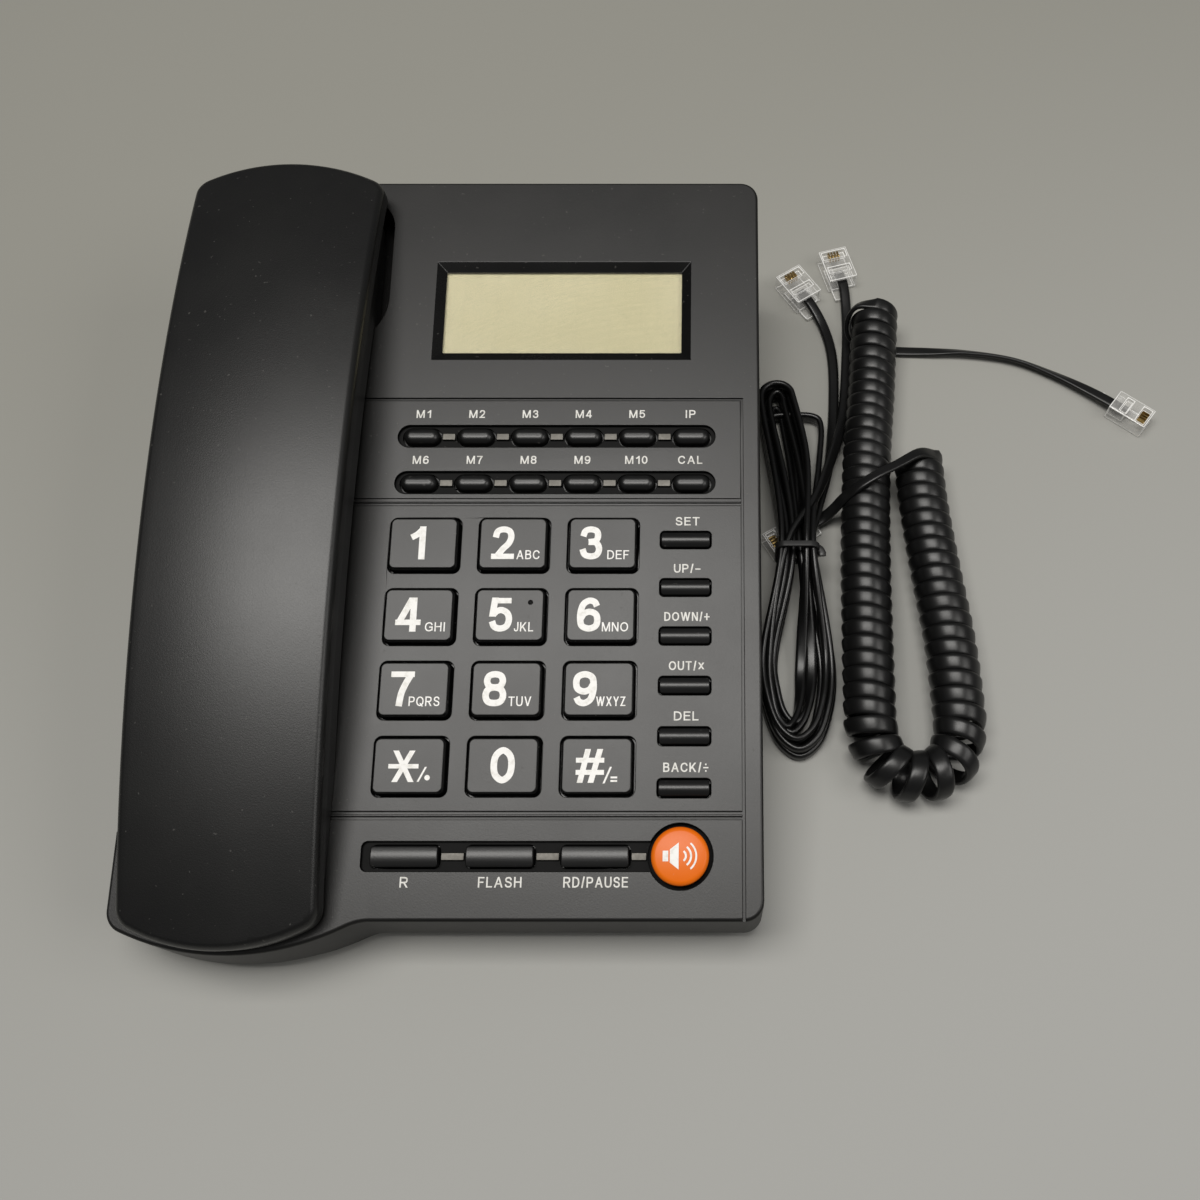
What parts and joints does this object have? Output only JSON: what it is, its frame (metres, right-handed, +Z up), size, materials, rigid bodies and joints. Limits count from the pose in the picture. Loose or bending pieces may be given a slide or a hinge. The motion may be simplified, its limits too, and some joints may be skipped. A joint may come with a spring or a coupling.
{
  "type": "corded telephone",
  "caption": "Corded desk telephone: wedge base with display, number, memory and function keys, handset in its cradle, loose curly cord and tied line cord beside it.",
  "frame": {"origin": "on the table under the middle of the base, where its footprint's box is centred", "axes": "+X to the right of the person using it, +Y away from that person, +Z up"},
  "size_m": [0.2912, 0.2331, 0.0693],
  "materials": {
    "black_plastic": "fine matte texture",
    "key_plastic": "satin with white legends",
    "orange_plastic": "satin",
    "clear_window": "clear plastic sheet",
    "display": "plain display",
    "board": "lacquered",
    "grey_rubber": "matte",
    "speaker_frame": "black",
    "steel": "plated",
    "capsule": "plain",
    "clear_plug": "clear",
    "cord_sheath": "smooth satin"
  },
  "bodies": {
    "base": {"base_bottom": "black_plastic", "base_top": "black_plastic", "display_window": "clear_window", "display_module": "display", "main_board": "board", "key_mat": "grey_rubber", "hook_spring": "steel", "loudspeaker": "speaker_frame", "line_jack": "key_plastic", "cord_jack": "key_plastic", "rubber_feet": "grey_rubber", "case_screws": "steel", "line_cord_tails": "cord_sheath", "line_cord_hank": "cord_sheath", "cord_tie": "cord_sheath", "line_plugs": "clear_plug", "curly_cord": "cord_sheath", "curly_cord_leads": "cord_sheath", "cord_plugs": "clear_plug"},
    "handset": {"handset_back": "black_plastic", "handset_front": "black_plastic", "receiver_capsule": "capsule", "microphone": "capsule", "handset_jack": "key_plastic", "handset_screws": "steel"},
    "hook": {"hook_plunger": "key_plastic"},
    "key_1": {"key_1": "key_plastic"},
    "key_2": {"key_2": "key_plastic"},
    "key_3": {"key_3": "key_plastic"},
    "key_4": {"key_4": "key_plastic"},
    "key_5": {"key_5": "key_plastic"},
    "key_6": {"key_6": "key_plastic"},
    "key_7": {"key_7": "key_plastic"},
    "key_8": {"key_8": "key_plastic"},
    "key_9": {"key_9": "key_plastic"},
    "key_star": {"key_star": "key_plastic"},
    "key_0": {"key_0": "key_plastic"},
    "key_hash": {"key_hash": "key_plastic"},
    "memory_key_1": {"memory_key_1": "key_plastic"},
    "memory_key_2": {"memory_key_2": "key_plastic"},
    "memory_key_3": {"memory_key_3": "key_plastic"},
    "memory_key_4": {"memory_key_4": "key_plastic"},
    "memory_key_5": {"memory_key_5": "key_plastic"},
    "memory_key_6": {"memory_key_6": "key_plastic"},
    "memory_key_7": {"memory_key_7": "key_plastic"},
    "memory_key_8": {"memory_key_8": "key_plastic"},
    "memory_key_9": {"memory_key_9": "key_plastic"},
    "memory_key_10": {"memory_key_10": "key_plastic"},
    "memory_key_11": {"memory_key_11": "key_plastic"},
    "memory_key_12": {"memory_key_12": "key_plastic"},
    "side_key_1": {"side_key_1": "key_plastic"},
    "side_key_2": {"side_key_2": "key_plastic"},
    "side_key_3": {"side_key_3": "key_plastic"},
    "side_key_4": {"side_key_4": "key_plastic"},
    "side_key_5": {"side_key_5": "key_plastic"},
    "side_key_6": {"side_key_6": "key_plastic"},
    "lower_key_1": {"lower_key_1": "key_plastic"},
    "lower_key_2": {"lower_key_2": "key_plastic"},
    "lower_key_3": {"lower_key_3": "key_plastic"},
    "speaker_button": {"speaker_button": "orange_plastic"}
  },
  "joints": [
    {"name": "handset_lift", "type": "slide", "parent": "base", "child": "handset", "axis": [0, -0.1564, 0.9877], "range_m": [0, 0.1]},
    {"name": "hook_slide", "type": "slide", "parent": "base", "child": "hook", "axis": [0, 0, 1], "range_m": [0, 0.005], "deforming": ["hook_spring"]},
    {"name": "key_1_press", "type": "slide", "parent": "base", "child": "key_1", "axis": [0, 0.1564, -0.9877], "range_m": [0, 0.0015], "stiffness_N_per_m": 300, "springref_m": -0.0005},
    {"name": "key_2_press", "type": "slide", "parent": "base", "child": "key_2", "axis": [0, 0.1564, -0.9877], "range_m": [0, 0.0015], "stiffness_N_per_m": 300, "springref_m": -0.0005},
    {"name": "key_3_press", "type": "slide", "parent": "base", "child": "key_3", "axis": [0, 0.1564, -0.9877], "range_m": [0, 0.0015], "stiffness_N_per_m": 300, "springref_m": -0.0005},
    {"name": "key_4_press", "type": "slide", "parent": "base", "child": "key_4", "axis": [0, 0.1564, -0.9877], "range_m": [0, 0.0015], "stiffness_N_per_m": 300, "springref_m": -0.0005},
    {"name": "key_5_press", "type": "slide", "parent": "base", "child": "key_5", "axis": [0, 0.1564, -0.9877], "range_m": [0, 0.0015], "stiffness_N_per_m": 300, "springref_m": -0.0005},
    {"name": "key_6_press", "type": "slide", "parent": "base", "child": "key_6", "axis": [0, 0.1564, -0.9877], "range_m": [0, 0.0015], "stiffness_N_per_m": 300, "springref_m": -0.0005},
    {"name": "key_7_press", "type": "slide", "parent": "base", "child": "key_7", "axis": [0, 0.1564, -0.9877], "range_m": [0, 0.0015], "stiffness_N_per_m": 300, "springref_m": -0.0005},
    {"name": "key_8_press", "type": "slide", "parent": "base", "child": "key_8", "axis": [0, 0.1564, -0.9877], "range_m": [0, 0.0015], "stiffness_N_per_m": 300, "springref_m": -0.0005},
    {"name": "key_9_press", "type": "slide", "parent": "base", "child": "key_9", "axis": [0, 0.1564, -0.9877], "range_m": [0, 0.0015], "stiffness_N_per_m": 300, "springref_m": -0.0005},
    {"name": "key_star_press", "type": "slide", "parent": "base", "child": "key_star", "axis": [0, 0.1564, -0.9877], "range_m": [0, 0.0015], "stiffness_N_per_m": 300, "springref_m": -0.0005},
    {"name": "key_0_press", "type": "slide", "parent": "base", "child": "key_0", "axis": [0, 0.1564, -0.9877], "range_m": [0, 0.0015], "stiffness_N_per_m": 300, "springref_m": -0.0005},
    {"name": "key_hash_press", "type": "slide", "parent": "base", "child": "key_hash", "axis": [0, 0.1564, -0.9877], "range_m": [0, 0.0015], "stiffness_N_per_m": 300, "springref_m": -0.0005},
    {"name": "memory_key_1_press", "type": "slide", "parent": "base", "child": "memory_key_1", "axis": [0, 0.1564, -0.9877], "range_m": [0, 0.0015], "stiffness_N_per_m": 300, "springref_m": -0.0005},
    {"name": "memory_key_2_press", "type": "slide", "parent": "base", "child": "memory_key_2", "axis": [0, 0.1564, -0.9877], "range_m": [0, 0.0015], "stiffness_N_per_m": 300, "springref_m": -0.0005},
    {"name": "memory_key_3_press", "type": "slide", "parent": "base", "child": "memory_key_3", "axis": [0, 0.1564, -0.9877], "range_m": [0, 0.0015], "stiffness_N_per_m": 300, "springref_m": -0.0005},
    {"name": "memory_key_4_press", "type": "slide", "parent": "base", "child": "memory_key_4", "axis": [0, 0.1564, -0.9877], "range_m": [0, 0.0015], "stiffness_N_per_m": 300, "springref_m": -0.0005},
    {"name": "memory_key_5_press", "type": "slide", "parent": "base", "child": "memory_key_5", "axis": [0, 0.1564, -0.9877], "range_m": [0, 0.0015], "stiffness_N_per_m": 300, "springref_m": -0.0005},
    {"name": "memory_key_6_press", "type": "slide", "parent": "base", "child": "memory_key_6", "axis": [0, 0.1564, -0.9877], "range_m": [0, 0.0015], "stiffness_N_per_m": 300, "springref_m": -0.0005},
    {"name": "memory_key_7_press", "type": "slide", "parent": "base", "child": "memory_key_7", "axis": [0, 0.1564, -0.9877], "range_m": [0, 0.0015], "stiffness_N_per_m": 300, "springref_m": -0.0005},
    {"name": "memory_key_8_press", "type": "slide", "parent": "base", "child": "memory_key_8", "axis": [0, 0.1564, -0.9877], "range_m": [0, 0.0015], "stiffness_N_per_m": 300, "springref_m": -0.0005},
    {"name": "memory_key_9_press", "type": "slide", "parent": "base", "child": "memory_key_9", "axis": [0, 0.1564, -0.9877], "range_m": [0, 0.0015], "stiffness_N_per_m": 300, "springref_m": -0.0005},
    {"name": "memory_key_10_press", "type": "slide", "parent": "base", "child": "memory_key_10", "axis": [0, 0.1564, -0.9877], "range_m": [0, 0.0015], "stiffness_N_per_m": 300, "springref_m": -0.0005},
    {"name": "memory_key_11_press", "type": "slide", "parent": "base", "child": "memory_key_11", "axis": [0, 0.1564, -0.9877], "range_m": [0, 0.0015], "stiffness_N_per_m": 300, "springref_m": -0.0005},
    {"name": "memory_key_12_press", "type": "slide", "parent": "base", "child": "memory_key_12", "axis": [0, 0.1564, -0.9877], "range_m": [0, 0.0015], "stiffness_N_per_m": 300, "springref_m": -0.0005},
    {"name": "side_key_1_press", "type": "slide", "parent": "base", "child": "side_key_1", "axis": [0, 0.1564, -0.9877], "range_m": [0, 0.0015], "stiffness_N_per_m": 300, "springref_m": -0.0005},
    {"name": "side_key_2_press", "type": "slide", "parent": "base", "child": "side_key_2", "axis": [0, 0.1564, -0.9877], "range_m": [0, 0.0015], "stiffness_N_per_m": 300, "springref_m": -0.0005},
    {"name": "side_key_3_press", "type": "slide", "parent": "base", "child": "side_key_3", "axis": [0, 0.1564, -0.9877], "range_m": [0, 0.0015], "stiffness_N_per_m": 300, "springref_m": -0.0005},
    {"name": "side_key_4_press", "type": "slide", "parent": "base", "child": "side_key_4", "axis": [0, 0.1564, -0.9877], "range_m": [0, 0.0015], "stiffness_N_per_m": 300, "springref_m": -0.0005},
    {"name": "side_key_5_press", "type": "slide", "parent": "base", "child": "side_key_5", "axis": [0, 0.1564, -0.9877], "range_m": [0, 0.0015], "stiffness_N_per_m": 300, "springref_m": -0.0005},
    {"name": "side_key_6_press", "type": "slide", "parent": "base", "child": "side_key_6", "axis": [0, 0.1564, -0.9877], "range_m": [0, 0.0015], "stiffness_N_per_m": 300, "springref_m": -0.0005},
    {"name": "lower_key_1_press", "type": "slide", "parent": "base", "child": "lower_key_1", "axis": [0, 0.1564, -0.9877], "range_m": [0, 0.0015], "stiffness_N_per_m": 300, "springref_m": -0.0005},
    {"name": "lower_key_2_press", "type": "slide", "parent": "base", "child": "lower_key_2", "axis": [0, 0.1564, -0.9877], "range_m": [0, 0.0015], "stiffness_N_per_m": 300, "springref_m": -0.0005},
    {"name": "lower_key_3_press", "type": "slide", "parent": "base", "child": "lower_key_3", "axis": [0, 0.1564, -0.9877], "range_m": [0, 0.0015], "stiffness_N_per_m": 300, "springref_m": -0.0005},
    {"name": "speaker_button_press", "type": "slide", "parent": "base", "child": "speaker_button", "axis": [0, 0.1564, -0.9877], "range_m": [0, 0.0015], "stiffness_N_per_m": 300, "springref_m": -0.0005}
  ],
  "couplings": [
    {"joint": "hook_slide", "follows": "handset_lift", "ratio": 0.05}
  ]
}
